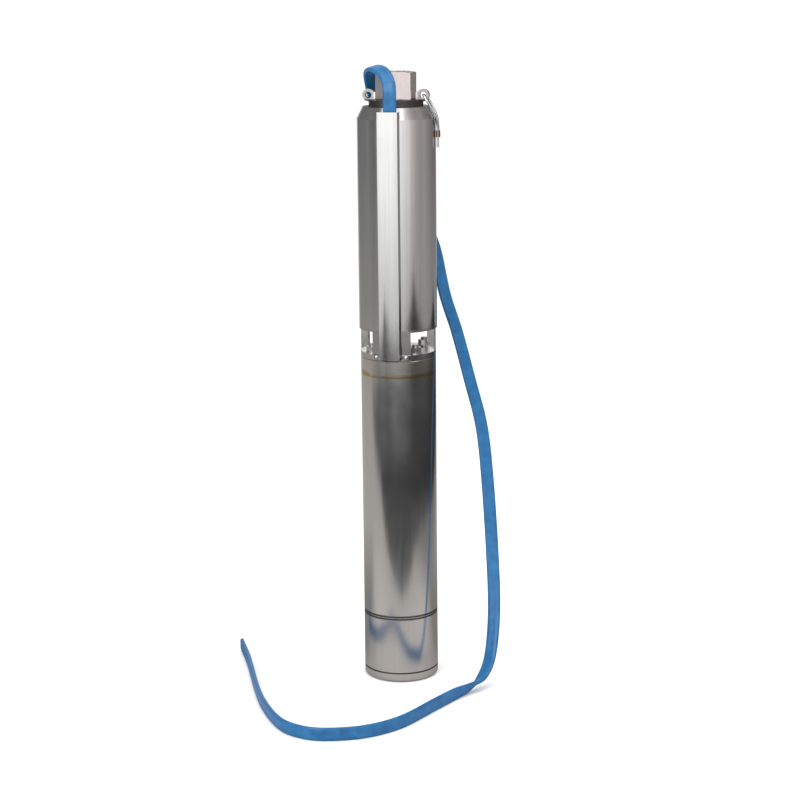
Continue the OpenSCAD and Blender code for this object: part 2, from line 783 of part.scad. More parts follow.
module top_bush() {
    color("#262626") ring(hub_r + run_gap, hub_r + top_bush_wall, spider_h - 4, spider_z + 1);
}

module journal_sleeve() {
    color("#d8dadb")
    difference() {
        translate([0, 0, spider_z]) cylinder(r = hub_r, h = spider_h - 2);
        hex_bar(pump_shaft_af + 2 * seat_gap, spider_h, spider_z - 1);
    }
}

module shaft_nut() {
    nut_z = spider_z + spider_h - 2;
    top_nut_h = 6;
    color("#b5b7b9")
    difference() {
        rotate([0, 0, 15]) hex_bar(hub_d, top_nut_h, nut_z);
        hex_bar(pump_shaft_af + 2 * seat_gap, top_nut_h + 2, nut_z - 1);
    }
}

module pump_sleeve() {
    color("silver") ring(sleeve_ir, sleeve_r, sleeve_top - sleeve_z, sleeve_z);
}

// Head and check valve

module eyelet(side) {
    root = 8;
    foot = 4;
    translate([side * eyelet_x, 0, eyelet_z])
    rotate([90, 0, 0])
    cylinder(d = eyelet_od, h = eyelet_t, center = true);
    translate([side * (eyelet_x + neck_d / 2 - root) / 2, 0, eyelet_z - foot / 2])
        cube([eyelet_x - neck_d / 2 + root, eyelet_t, eyelet_od - foot], center = true);
}

module discharge_head() {
    seat_or = chamber_r + seat_rim;
    chamfer = 2;
    chamber_lip = 2;
    thread_z = top_z - thread_l;
    chamber_top = guide_z + guide_h;
    color("#b9b6b0")
    difference() {
        union() {
            translate([0, 0, head_z]) cylinder(r = stack_r, h = skirt_h);
            translate([0, 0, sleeve_top]) cylinder(r1 = sleeve_r, r2 = shoulder_d / 2, h = shoulder_h);
            translate([0, 0, neck_z - 1]) cylinder(d = neck_d, h = neck_h + 1);
            intersection() {
                rotate(hex_turn) hex_bar(hex_af, hex_h + 1, hex_z - 1);
                union() {
                    translate([0, 0, hex_z - 1]) cylinder(r = hex_af, h = hex_h + 1 - chamfer);
                    translate([0, 0, top_z - chamfer])
                        cylinder(r1 = hex_af / 2 + 2 * chamfer, r2 = hex_af / 2, h = chamfer);
                }
            }
            for (s = [-1, 1]) eyelet(s);
        }
        translate([0, 0, head_z - 1]) cylinder(r = seat_or, h = seat_h + 1);
        translate([0, 0, valve_z - 1]) cylinder(r = chamber_r, h = chamber_top - valve_z + 1);
        translate([0, 0, chamber_top - 1]) cylinder(r = chamber_r - chamber_lip, h = hex_z - chamber_top + 1);
        translate([0, 0, hex_z - 0.01])
            cylinder(r1 = chamber_r - chamber_lip, r2 = outlet_d / 2, h = thread_z - hex_z + 0.01);
        translate([0, 0, thread_z - 0.01]) cylinder(d = outlet_d, h = thread_l + 1);
        for (s = [-1, 1])
            translate([s * eyelet_x, 0, eyelet_z])
            rotate([90, 0, 0])
            cylinder(d = eyelet_d, h = 3 * eyelet_t, center = true);
        for (s = [-1, 1]) tongue(s, pass_gap);
    }
}

module valve_seat() {
    lead_in = 4;
    color("#b08d4a")
    difference() {
        ring(seat_d / 2, chamber_r + seat_rim - seat_gap, seat_h, seat_z);
        translate([0, 0, seat_z - 0.01]) cylinder(r1 = seat_d / 2 + lead_in, r2 = seat_d / 2, h = lead_in);
    }
}

module valve_poppet() {
    spigot = 3;
    taper = 4;
    color("#d9d4c4") {
        translate([0, 0, poppet_z]) cylinder(d1 = poppet_d, d2 = poppet_d - taper, h = poppet_h);
        translate([0, 0, poppet_z - spigot]) cylinder(r = spigot_r, h = spigot + 0.5);
        translate([0, 0, poppet_z]) cylinder(d = stem_d, h = stem_top - poppet_z);
    }
}

module valve_seal() {
    color("#1c1c1c") ring(spigot_r + seat_gap, poppet_d / 2 - 0.5, seal_ring_h - seat_gap, valve_z + run_gap);
}

module valve_spring() {
    coil_r = stem_d / 2 + 2;
    turn_steps = 12;
    low_z = poppet_z + poppet_h + spring_wire / 2;
    rise = guide_z - spring_wire / 2 - low_z;
    steps = turn_steps * spring_turns;
    path = [for (i = [0:steps]) let (a = i * 360 / turn_steps)
        [coil_r * cos(a), coil_r * sin(a), low_z + rise * i / steps]];
    color("#d5d7d8") sweep(path, [for (p = path) [0, 0, 1]], cord_section(spring_wire, spring_wire, 6));
}

module valve_guide() {
    guide_hub_r = stem_d / 2 + 4;
    rim_t = 4;
    arm_w = 4;
    color("#c9c4b2") {
        ring(stem_d / 2 + run_gap, guide_hub_r, guide_h, guide_z);
        ring(chamber_r - rim_t, chamber_r - seat_gap, guide_h, guide_z);
        difference() {
            for (a = [90:120:330])
                rotate(a) translate([0, -arm_w / 2, guide_z]) cube([chamber_r - rim_t + 1, arm_w, guide_h]);
            translate([0, 0, guide_z - 1]) cylinder(r = guide_hub_r - 1, h = guide_h + 2);
        }
    }
}

// Guard, its screws, the free cable and the wire loop

module guard_outline(inset) {
    intersection() {
        polygon([
            [-guard_foot_w + inset, -guard_foot_y], [-guard_top_w + inset, -guard_y],
            [guard_top_w - inset, -guard_y], [guard_foot_w - inset, -guard_foot_y]
        ]);
        translate([0, guard_bow_r - guard_y]) circle(guard_bow_r - inset, $fn = 128);
    }
}

// Tongue of the guard, or with room around it the pocket for it in the head
module tongue(side, room) {
    translate([side * tongue_x - tongue_w / 2 - room, -tongue_out - room, tongue_z - tongue_h / 2 - room])
        cube([tongue_w + 2 * room, tongue_out - tongue_in + 2 * room, tongue_h + 2 * room]);
}

module cable_guard() {
    ear_r = motor_r + seat_gap;
    ear_w = 14;
    color("silver")
    difference() {
        union() {
            translate([0, 0, guard_z])
            linear_extrude(guard_top - guard_z)
            difference() {
                guard_outline(0);
                guard_outline(guard_t);
            }
            for (s = [-1, 1]) tongue(s, 0);
            intersection() {
                ring(ear_r, ear_or, lantern_ring_h - guard_low, guard_z);
                for (s = [-1, 1])
                    rotate(s * ear_angle - 90)
                    translate([0, -ear_w / 2, guard_z])
                    cube([2 * motor_r, ear_w, lantern_ring_h]);
            }
        }
        at_screws() rotate([0, 90, 0]) cylinder(d = screw_d + 4 * seat_gap, h = ear_or - motor_r + ear_t);
    }
}

module guard_screws() {
    head_h = 1.8;
    head_seat = ear_or - motor_r + seat_gap;
    screw_l = 10;
    color("#b5b7b9")
    at_screws()
    rotate([0, 90, 0])
    union() {
        translate([0, 0, -screw_l]) cylinder(r = screw_d / 2 - seat_gap, h = screw_l + head_seat + 1);
        translate([0, 0, head_seat]) cylinder(d1 = 1.8 * screw_d, d2 = 1.4 * screw_d, h = head_h);
    }
}

module drop_cable() {
    path = smooth(cable_route, cable_rings);
    widths = smooth(cable_width, cable_rings);
    color("#1763a8") sweep(path, widths, cord_section(cable_w, cable_t, 8));
}

module wire_loop() {
    color("#c7c9cb")
    sweep(smooth(wire_route, 2), smooth(wire_side, 2), cord_section(wire_d, wire_d, 8));
}

module loop_ferrule() {
    first = wire_route[1];
    color("#8a6f63")
    translate([first[0], 0, ferrule_z])
    difference() {
        union() {
            translate([-wire_d / 2 - ferrule_wall, first[1], 0])
                cube([wire_d + 2 * ferrule_wall, -2 * first[1], ferrule_h]);
            for (s = [-1, 1])
                translate([0, s * first[1], 0]) cylinder(r = wire_d / 2 + ferrule_wall, h = ferrule_h);
        }
        for (s = [-1, 1])
            translate([0, s * first[1], -1]) cylinder(r = wire_d / 2 + run_gap, h = ferrule_h + 2);
    }
}

base_cap();
diaphragm();
lower_bracket();
lower_bush();
thrust_pads();
thrust_runner();
motor_shell();
stator_core();
stator_windings();
rotor_core();
rotor_end_rings();
motor_shaft();
upper_bush();
motor_end_bell();
shaft_seal();
motor_studs();
stud_washers();
stud_nuts();
lead_plug();
guarded_lead();
sand_slinger();
suction_lantern();
strainer();
shaft_coupling();
pump_shaft();
for (i = STAGES) {
    impeller(i);
    diffuser(i);
}
bearing_spider();
top_bush();
journal_sleeve();
shaft_nut();
pump_sleeve();
discharge_head();
valve_seat();
valve_poppet();
valve_seal();
valve_spring();
valve_guide();
cable_guard();
guard_screws();
drop_cable();
wire_loop();
loop_ferrule();
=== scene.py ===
"""Borehole submersible pump: finishes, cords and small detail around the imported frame. Metres, +Z up."""
import json
import math
import bmesh
import bpy
from mathutils import Matrix, Vector


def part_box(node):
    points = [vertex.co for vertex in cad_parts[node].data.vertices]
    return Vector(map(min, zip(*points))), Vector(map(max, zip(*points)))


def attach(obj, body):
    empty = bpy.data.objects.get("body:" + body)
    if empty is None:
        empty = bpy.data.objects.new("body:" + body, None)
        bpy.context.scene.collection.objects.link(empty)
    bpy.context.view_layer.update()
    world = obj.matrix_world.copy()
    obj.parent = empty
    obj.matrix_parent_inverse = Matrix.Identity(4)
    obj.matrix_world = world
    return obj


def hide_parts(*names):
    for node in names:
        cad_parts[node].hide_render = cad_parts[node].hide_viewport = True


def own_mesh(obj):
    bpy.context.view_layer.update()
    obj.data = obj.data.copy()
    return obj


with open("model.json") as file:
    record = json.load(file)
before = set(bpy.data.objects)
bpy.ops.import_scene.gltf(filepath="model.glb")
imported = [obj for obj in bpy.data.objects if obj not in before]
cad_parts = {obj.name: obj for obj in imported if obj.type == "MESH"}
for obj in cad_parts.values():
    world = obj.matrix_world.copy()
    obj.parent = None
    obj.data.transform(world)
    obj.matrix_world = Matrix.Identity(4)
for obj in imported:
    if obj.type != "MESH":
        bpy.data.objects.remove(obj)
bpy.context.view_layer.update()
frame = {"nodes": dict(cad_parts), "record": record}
MM = 0.001
STATIC = "pump_body"
SHARP_ANGLE = math.radians(40)

# Camera, at the photograph's viewing angle: the picture is 800 pixels wide and high
CAMERA_AZIMUTH = math.radians(12.0)
CAMERA_DISTANCE = 2.430
CAMERA_HEIGHT = 0.884
CAMERA_PITCH = math.radians(12.3)
CAMERA_ROLL = math.radians(0.57)
CAMERA_LENS = 90.0
CAMERA_SHIFT = 0.00125
VIEW_RIGHT = Vector((math.cos(CAMERA_AZIMUTH), math.sin(CAMERA_AZIMUTH), 0))
VIEW_FRONT = Vector((math.sin(CAMERA_AZIMUTH), -math.cos(CAMERA_AZIMUTH), 0))


def make_camera():
    data = bpy.data.cameras.new("photo_camera")
    data.lens = CAMERA_LENS
    data.shift_x = CAMERA_SHIFT
    camera = bpy.data.objects.new("photo_camera", data)
    bpy.context.collection.objects.link(camera)
    camera.location = VIEW_FRONT * CAMERA_DISTANCE + Vector((0, 0, CAMERA_HEIGHT))
    look = -VIEW_FRONT * math.cos(CAMERA_PITCH) - Vector((0, 0, math.sin(CAMERA_PITCH)))
    turn = look.to_track_quat("-Z", "Y").to_matrix() @ Matrix.Rotation(-CAMERA_ROLL, 3, "Z")
    camera.rotation_euler = turn.to_euler()
    bpy.context.scene.camera = camera


make_camera()

# Smooth paths, circles and swept tubes


def curve_point(points, i, t):
    last = len(points) - 1
    a, b, c, d = (points[max(0, min(last, i + k))] for k in (-1, 0, 1, 2))
    return 0.5 * (2 * b + (c - a) * t + (2 * a - 5 * b + 4 * c - d) * t**2 + (3 * b - a - 3 * c + d) * t**3)


def smooth(points, steps):
    points = [Vector(p) for p in points]
    path = [curve_point(points, i, k / steps) for i in range(len(points) - 1) for k in range(steps)]
    return path + [points[-1]]


def circle_points(count):
    """Cosine and sine of equal steps round a circle."""
    angles = [2 * math.pi * k / count for k in range(count)]
    return [(math.cos(a), math.sin(a)) for a in angles]


def skin(bm, rings):
    """Joins rings of vertices into a tube with closed ends."""
    count = len(rings[0])
    for low, high in zip(rings, rings[1:]):
        for k in range(count):
            n = (k + 1) % count
            bm.faces.new((low[k], low[n], high[n], high[k]))
    bm.faces.new(rings[0])
    bm.faces.new(rings[-1])


def sweep(bm, path, sides, sections):
    """Skins a tube along path: sides gives the width direction at each point, sections the outline there."""
    rings = []
    for i, p in enumerate(path):
        tangent = (path[min(i + 1, len(path) - 1)] - path[max(i - 1, 0)]).normalized()
        width = (sides[i] - sides[i].dot(tangent) * tangent).normalized()
        normal = tangent.cross(width)
        rings.append([bm.verts.new(p + x * width + y * normal) for x, y in sections[i]])
    skin(bm, rings)


def link_mesh(name, bm, material, body=STATIC):
    mesh = bpy.data.meshes.new(name)
    bmesh.ops.recalc_face_normals(bm, faces=bm.faces)
    bm.to_mesh(mesh)
    bm.free()
    mesh.polygons.foreach_set("use_smooth", [True] * len(mesh.polygons))
    mesh.set_sharp_from_angle(angle=SHARP_ANGLE)
    obj = bpy.data.objects.new(name, mesh)
    bpy.context.collection.objects.link(obj)
    mesh.materials.append(material)
    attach(obj, body)
    return obj


# Node materials


class Nodes:
    """A material's node tree with short calls for the nodes used below."""

    def __init__(self, name):
        self.material = bpy.data.materials.new(name)
        self.material.use_nodes = True
        self.tree = self.material.node_tree
        self.shader = self.tree.nodes["Principled BSDF"]
        self.place = self.tree.nodes.new("ShaderNodeTexCoord").outputs["Object"]

    def add(self, kind, **settings):
        node = self.tree.nodes.new("ShaderNode" + kind)
        for key, value in settings.items():
            setattr(node, key, value)
        return node

    def link(self, out, socket):
        self.tree.links.new(out, socket)

    def scaled(self, scale):
        node = self.add("Mapping")
        node.inputs["Scale"].default_value = scale
        self.link(self.place, node.inputs["Vector"])
        return node.outputs["Vector"]

    def split(self):
        """The place's X, Y and Z."""
        node = self.add("SeparateXYZ")
        self.link(self.place, node.inputs["Vector"])
        return node.outputs

    def along(self, direction):
        """How far the place lies along a direction."""
        node = self.add("VectorMath", operation="DOT_PRODUCT")
        node.inputs[1].default_value = direction
        self.link(self.place, node.inputs[0])
        return node.outputs["Value"]

    def length(self, vector):
        node = self.add("VectorMath", operation="LENGTH")
        self.link(vector, node.inputs[0])
        return node.outputs["Value"]

    def noise(self, scale, detail=3.0, vector=None, rough=0.55):
        node = self.add("TexNoise")
        node.inputs["Scale"].default_value = scale
        node.inputs["Detail"].default_value = detail
        node.inputs["Roughness"].default_value = rough
        self.link(vector or self.place, node.inputs["Vector"])
        return node.outputs["Fac"]

    def ramp(self, value, stops):
        node = self.add("ValToRGB")
        points = node.color_ramp.elements
        while len(points) < len(stops):
            points.new(0.5)
        for point, (at, color) in zip(points, stops):
            point.position = at
            point.color = (*color, 1) if isinstance(color, tuple) else (color, color, color, 1)
        self.link(value, node.inputs["Fac"])
        return node.outputs["Color"]

    def math(self, how, a, b=0.0):
        node = self.add("Math", operation=how)
        for socket, value in zip(node.inputs, (a, b)):
            if isinstance(value, (int, float)):
                socket.default_value = value
            else:
                self.link(value, socket)
        return node.outputs["Value"]

    def mix(self, share, a, b, how="MIX"):
        node = self.add("Mix", data_type="RGBA", blend_type=how)
        colors = [socket for socket in node.inputs if socket.type == "RGBA"]
        for socket, value in zip((node.inputs[0], *colors), (share, a, b)):
            if isinstance(value, float):
                socket.default_value = value
            elif isinstance(value, tuple):
                socket.default_value = (*value, 1)
            else:
                self.link(value, socket)
        return next(socket for socket in node.outputs if socket.type == "RGBA")

    def bump(self, height, strength, distance, under=None):
        node = self.add("Bump")
        node.inputs["Strength"].default_value = strength
        node.inputs["Distance"].default_value = distance
        self.link(height, node.inputs["Height"])
        if under:
            self.link(under, node.inputs["Normal"])
        return node.outputs["Normal"]

    def set(self, **values):
        for key, value in values.items():
            socket = self.shader.inputs[key.replace("_", " ")]
            if isinstance(value, (int, float)):
                socket.default_value = value
            elif isinstance(value, tuple):
                socket.default_value = (*value, 1)
            else:
                self.link(value, socket)
        return self.material


def tint(color, share):
    return tuple(min(1.0, c * share) for c in color)


# How closely lines are packed across and along the axis
POLISHING_LINES = (9, 9, 2600)
RUB_MARKS = (700, 700, 7)
TOOL_LINES = (25, 25, 3500)
BELL_LINES = (20, 20, 3000)
MOTOR_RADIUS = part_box("motor_shell")[1].x
# Shares of the motor's radius where a groove's painted shade is full and where it ends at the groove's edge
GROOVE_SHADE_FULL = 0.982
GROOVE_SHADE_END = 0.996
# Tone of the painted shade in the motor's grooves
GROOVE_SHADE_TONE = (0.10, 0.097, 0.094)


def painted_groove_shade(n, shade, low):
    """Painted shade in the grooves: darkens what lies behind the motor's face and above low."""
    flat = n.add("VectorMath", operation="MULTIPLY")
    flat.inputs[1].default_value = (1, 1, 0)
    n.link(n.place, flat.inputs[0])
    share = n.math("DIVIDE", n.length(flat.outputs["Vector"]), MOTOR_RADIUS)
    deep = n.ramp(share, [(GROOVE_SHADE_FULL, 1.0), (GROOVE_SHADE_END, 0.0)])
    above = n.math("GREATER_THAN", n.split()["Z"], low)
    return n.mix(n.math("MULTIPLY", deep, above), shade, GROOVE_SHADE_TONE)


def polished_metal(name, color, rough=(0.08, 0.15), line_strength=0.05, painted_shade_above=None):
    """Polished sheet: fine polishing lines around the tube, smudges and faint rub marks along it."""
    n = Nodes(name)
    lines = n.noise(1.0, 4.0, n.scaled(POLISHING_LINES))
    rubs = n.noise(1.0, 3.0, n.scaled(RUB_MARKS))
    smudge = n.noise(16.0, 5.0)
    rough_map = n.ramp(smudge, [(0.30, rough[0]), (0.72, rough[1])])
    rough_lines = n.math("MULTIPLY", n.math("SUBTRACT", lines, 0.5), 0.06)
    shade = n.ramp(rubs, [(0.28, tint(color, 0.93)), (0.5, color), (0.75, tint(color, 1.04))])
    # Optional painted shade in the grooves above the given height
    if painted_shade_above is not None:
        shade = painted_groove_shade(n, shade, painted_shade_above)
    rough_out = n.math("ADD", rough_map, rough_lines)
    normal = n.bump(lines, line_strength, 0.00006, n.bump(smudge, 0.02, 0.0004))
    return n.set(Base_Color=shade, Metallic=1.0, Roughness=rough_out, Normal=normal)


def cast_metal(name, color, rough=(0.22, 0.42), grain=900.0, strength=0.12):
    """Satin casting or machined metal: fine grain, cloudy tone and roughness."""
    n = Nodes(name)
    fine = n.noise(grain, 3.0)
    cloud = n.noise(45.0, 4.0)
    shade = n.ramp(cloud, [(0.30, tint(color, 0.86)), (0.70, tint(color, 1.08))])
    return n.set(Base_Color=shade, Metallic=1.0, Roughness=n.ramp(cloud, [(0.3, rough[0]), (0.7, rough[1])]),
                 Normal=n.bump(fine, strength, 0.0002))


def turned_metal(name, color, rough=(0.18, 0.30), painted_shade_above=None):
    """Turned or ground metal, with tool lines around the axis."""
    n = Nodes(name)
    lines = n.noise(1.0, 3.0, n.scaled(TOOL_LINES))
    shade = n.ramp(lines, [(0.35, tint(color, 0.90)), (0.65, tint(color, 1.06))])
    # Optional painted shade in the grooves above the given height
    if painted_shade_above is not None:
        shade = painted_groove_shade(n, shade, painted_shade_above)
    return n.set(Base_Color=shade, Metallic=1.0, Roughness=n.ramp(lines, [(0.3, rough[0]), (0.7, rough[1])]),
                 Normal=n.bump(lines, 0.08, 0.0001))


def plain_polymer(name, color, rough=(0.45, 0.65), grain=1400.0, specular=0.4):
    """Moulded rubber or plastic: fine grain and a dusty, uneven tone."""
    n = Nodes(name)
    fine = n.noise(grain, 2.0)
    cloud = n.noise(60.0, 4.0)
    shade = n.ramp(cloud, [(0.3, tint(color, 0.82)), (0.7, tint(color, 1.25))])
    return n.set(Base_Color=shade, Roughness=n.ramp(cloud, [(0.3, rough[0]), (0.7, rough[1])]),
                 Specular_IOR_Level=specular, Normal=n.bump(fine, 0.15, 0.0002))


# The wave texture turns its phase this far in each metre at a scale of one
WAVE_PHASE = 20


def layered_metal(name, color, spacing):
    """Stacked laminations or wound wire: fine lines around the axis, one to each 2 pi spacings."""
    n = Nodes(name)
    wave = n.add("TexWave", bands_direction="Z")
    wave.inputs["Scale"].default_value = 1 / spacing / WAVE_PHASE
    wave.inputs["Distortion"].default_value = 0.4
    n.link(n.place, wave.inputs["Vector"])
    lines = wave.outputs["Fac"]
    shade = n.ramp(lines, [(0.2, tint(color, 0.65)), (0.8, tint(color, 1.1))])
    return n.set(Base_Color=shade, Metallic=0.9, Roughness=n.ramp(lines, [(0.0, 0.55), (1.0, 0.32)]),
                 Normal=n.bump(lines, 0.5, 0.0003))


# Bare brass shows below a ragged line over the motor shell, which stands higher on the left
BRASS_LINE = 0.0105
BRASS_RAGGED = 0.018
BRASS_LEFT_RISE = 0.005
BRASS_BLEND = 0.0035
BRASS_TONE = (0.46, 0.37, 0.17)
PLATING_TONE = (0.60, 0.585, 0.55)


def end_bell_metal():
    """Plated brass end bell: bright plating, worn to bare brass along the lower lip, more so on the left."""
    n = Nodes("nickel_brass")
    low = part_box("motor_shell")[1].z
    ragged = n.math("MULTIPLY", n.noise(24.0, 4.0), BRASS_RAGGED)
    leftward = n.along(-VIEW_RIGHT / MOTOR_RADIUS)
    rise = n.math("MULTIPLY", n.ramp(leftward, [(0.72, 0.0), (0.92, 1.0)]), BRASS_LEFT_RISE)
    edge = n.math("ADD", rise, low + BRASS_LINE)
    height = n.math("SUBTRACT", n.math("ADD", n.split()["Z"], ragged), edge)
    shade = n.ramp(n.math("DIVIDE", height, BRASS_BLEND), [(0.0, BRASS_TONE), (1.0, PLATING_TONE)])
    lines = n.noise(1.0, 3.0, n.scaled(BELL_LINES))
    return n.set(Base_Color=shade, Metallic=1.0, Roughness=n.ramp(lines, [(0.3, 0.12), (0.7, 0.24)]),
                 Normal=n.bump(lines, 0.08, 0.0001))


# The discharge head's tones, on a scale that starts a margin below the neck
NECK_LOW = 0.717
NECK_HIGH = 0.7252
NECK_MARGIN = 0.02
HEAD_SPAN = 0.06
HEAD_BLEND = 0.006
SHOULDER_TONE = (0.58, 0.57, 0.56)
# The neck's dark tone is painted shade under the hexagon; its greater roughness is the as-cast finish
NECK_PAINTED_SHADE = (0.11, 0.105, 0.095)
HEXAGON_TONE = (0.86, 0.79, 0.775)
EYE_TONE = (0.40, 0.385, 0.38)


def head_metal():
    """Discharge head: polished shoulder, rough as-cast neck darkened with painted shade, satin hexagon above
    it, duller eyes beside it.
    """
    n = Nodes("cast_steel")
    place = n.split()
    span = n.math("DIVIDE", n.math("SUBTRACT", place["Z"], NECK_LOW - NECK_MARGIN), HEAD_SPAN)
    low, high = NECK_MARGIN / HEAD_SPAN, (NECK_HIGH - NECK_LOW + NECK_MARGIN) / HEAD_SPAN

    def by_height(shoulder, neck, hexagon):
        return n.ramp(span, [(low - HEAD_BLEND, shoulder), (low, neck), (high, neck),
                             (high + HEAD_BLEND, hexagon)])

    fine = n.noise(1100.0, 3.0)
    cloud = n.noise(60.0, 4.0)
    outward = n.math("DIVIDE", n.math("ABSOLUTE", place["X"]), MOTOR_RADIUS)
    eyes = n.math("MULTIPLY", n.ramp(outward, [(0.55, 0.0), (0.60, 1.0)]),
                  n.ramp(span, [(high, 0.0), (high + HEAD_BLEND, 1.0)]))
    tone = n.mix(eyes, by_height(SHOULDER_TONE, NECK_PAINTED_SHADE, HEXAGON_TONE), EYE_TONE)
    shade = n.mix(1.0, tone, n.ramp(cloud, [(0.3, 0.86), (0.7, 1.0)]), "MULTIPLY")
    rough = n.math("ADD", by_height(0.14, 0.48, 0.27), n.math("MULTIPLY", cloud, 0.06))
    grain = n.math("MULTIPLY", fine, by_height(0.05, 1.0, 0.35))
    return n.set(Base_Color=shade, Metallic=1.0, Roughness=rough, Normal=n.bump(grain, 0.14, 0.0002))


def cable_jacket():
    """Smooth blue jacket: slightly chalky tone, faint scuffs and a soft sheen."""
    n = Nodes("blue_jacket")
    scuff = n.noise(90.0, 5.0)
    fine = n.noise(1600.0, 2.0)
    shade = n.ramp(scuff, [(0.28, (0.004, 0.085, 0.225)), (0.55, (0.007, 0.118, 0.295)),
                           (0.8, (0.014, 0.150, 0.345))])
    return n.set(Base_Color=shade, Roughness=n.ramp(scuff, [(0.3, 0.30), (0.75, 0.48)]),
                 Specular_IOR_Level=0.45, Normal=n.bump(fine, 0.06, 0.0002))


STEEL = (0.60, 0.60, 0.595)
MATERIALS = {
    "polished_steel": polished_metal("polished_steel", STEEL),
    "cast_steel": head_metal(),
    "nickel_brass": end_bell_metal(),
    # The bracket band gets painted shade in its grooves
    "bracket_iron": turned_metal("bracket_band", (0.48, 0.48, 0.475), painted_shade_above=0.0),
    "stage_steel": polished_metal("stage_steel", (0.55, 0.555, 0.56), (0.2, 0.32), 0.1),
    "shaft_steel": turned_metal("shaft_steel", (0.56, 0.565, 0.57)),
    "fastener_steel": cast_metal("fastener_steel", (0.58, 0.58, 0.58), (0.16, 0.3), 1500.0, 0.06),
    "strainer_steel": cast_metal("strainer_steel", (0.30, 0.305, 0.31), (0.3, 0.5)),
    "spring_steel": cast_metal("spring_steel", (0.62, 0.63, 0.64), (0.15, 0.25)),
    "carbon_bush": plain_polymer("carbon_bush", (0.05, 0.05, 0.055), (0.35, 0.5)),
    "core_iron": layered_metal("core_iron", (0.26, 0.27, 0.28), 0.0005),
    "winding_copper": layered_metal("winding_copper", (0.50, 0.22, 0.08), 0.0009),
    "cast_aluminium": cast_metal("cast_aluminium", (0.72, 0.72, 0.71), (0.35, 0.5)),
    "black_rubber": plain_polymer("black_rubber", (0.018, 0.018, 0.019)),
    "black_plastic": plain_polymer("black_plastic", (0.025, 0.026, 0.03), (0.35, 0.5)),
    "blue_jacket": cable_jacket(),
    "seat_bronze": turned_metal("seat_bronze", (0.58, 0.40, 0.17)),
    "poppet_plastic": plain_polymer("poppet_plastic", (0.62, 0.58, 0.48), (0.3, 0.45)),
    "ferrule_copper": cast_metal("ferrule_copper", (0.34, 0.22, 0.18), (0.3, 0.45)),
    "wire_rope": cast_metal("wire_rope", (0.66, 0.67, 0.68), (0.2, 0.35)),
}
# The motor's two visible shells are polished less finely than the pump sleeve
OWN_MATERIALS = {
    # The base cap gets painted shade in its grooves above its foot
    "base_cap": polished_metal("base_steel", STEEL, rough=(0.17, 0.25), painted_shade_above=0.010),
    "motor_shell": polished_metal("motor_steel", STEEL, rough=(0.13, 0.20)),
}


def dress_nodes():
    for part in frame["record"]["subparts"]:
        obj = frame["nodes"][part["node"]]
        obj.data.materials.clear()
        obj.data.materials.append(OWN_MATERIALS.get(part["node"], MATERIALS[part["material_slot"]]))


dress_nodes()

# Flat cable, from the guard's upper edge over the head, behind the pump and along the floor
CABLE_WIDTH = 0.016
CABLE_THICKNESS = 0.0055
CABLE_CORES = 4
CABLE_ROUTE = [
    (2.9, -51, 713), (2.9, -51, 721), (2.9, -51, 730), (2.7, -50.3, 738), (0.9, -47, 747), (-5, -40, 756.5),
    (-14.5, -29.5, 762), (-25.5, -14.2, 762.5), (-32.5, 1.5, 757), (-34.5, 16, 744.5), (-34.5, 29, 729),
    (-33, 40, 708), (-29, 49, 683), (-22, 56, 652), (-9, 60, 620), (8, 61, 590), (24, 60, 562),
    (36, 58.5, 533), (49.2, 52, 479.3), (63.5, 54, 433.4), (80.5, 49, 373.8), (96.3, 43, 316.8),
    (105.3, 33, 256.3), (114.7, 15, 164), (120.7, -6, 91.3), (119.9, -29, 39.5), (112.7, -48, 16.3),
    (101, -66, 8.4), (85, -96, 8.2), (68, -134, 8.2), (40, -196, 8.2), (5, -233, 8.2), (-38, -250, 8.2),
    (-70, -247, 8.2), (-100, -226, 8.2), (-132, -176, 8.2), (-158, -120, 8.2), (-195, -26, 8.2),
    (-223, 38, 8.2)
]
# The cable's width direction at each point of its route
CABLE_SIDES = [
    (1, 0, 0), (1, 0, 0), (1, 0, 0), (0.99, 0.01, 0.11), (0.94, 0.1, 0.32), (0.85, 0.33, 0.41),
    (0.8, 0.5, 0.32), (0.8, 0.55, 0.24), (0.82, 0.48, 0.3), (0.86, 0.4, 0.32), (0.76, 0.53, 0.38),
    (0.72, 0.6, 0.35), (0.8, 0.51, 0.3), (0.87, 0.34, 0.36), (0.89, 0.13, 0.44), (0.87, -0.11, 0.48),
    (0.85, 0.25, 0.42), (0.72, 0.6, 0.3), (0.68, 0.7, 0.25), (0.7, 0.68, 0.22), (0.74, 0.64, 0.2),
    (0.8, 0.56, 0.15), (0.88, 0.45, 0.1), (0.98, 0.15, 0), (0.95, -0.2, 0), (0.9, -0.4, 0),
    (0.8, -0.6, 0.15), (0.45, -0.35, 0.8), (0.1, 0, 1)
] + [(0, 0, 1)] * 10
CABLE_STEPS = 10
CABLE_FACETS = 56
# Depth of the hollows between the cores, as a share of the thickness, and how full the edges' curves are
CABLE_HOLLOW = 0.06
CABLE_SPREAD = 0.35
CABLE_FULLNESS = 0.55


def cable_section():
    """Flat outline with round edges, a little thinner between the cores."""
    half_w, half_t = CABLE_WIDTH / 2, CABLE_THICKNESS / 2
    flat = half_w - half_t
    outline = []
    for k in range(CABLE_FACETS):
        a = 2 * math.pi * (k + 0.5) / CABLE_FACETS
        c, s = math.cos(a), math.sin(a)
        x = math.copysign(flat, c) * min(1.0, abs(c) ** CABLE_SPREAD) + half_t * c
        y = half_t * math.copysign(min(1.0, abs(s) ** CABLE_FULLNESS), s)
        core_turn = 2 * math.pi * CABLE_CORES * (x / CABLE_WIDTH + 0.5)
        dip = 1 - CABLE_HOLLOW * (0.5 - 0.5 * math.cos(core_turn))
        outline.append((x, y * (dip if abs(x) < flat else 1)))
    return outline


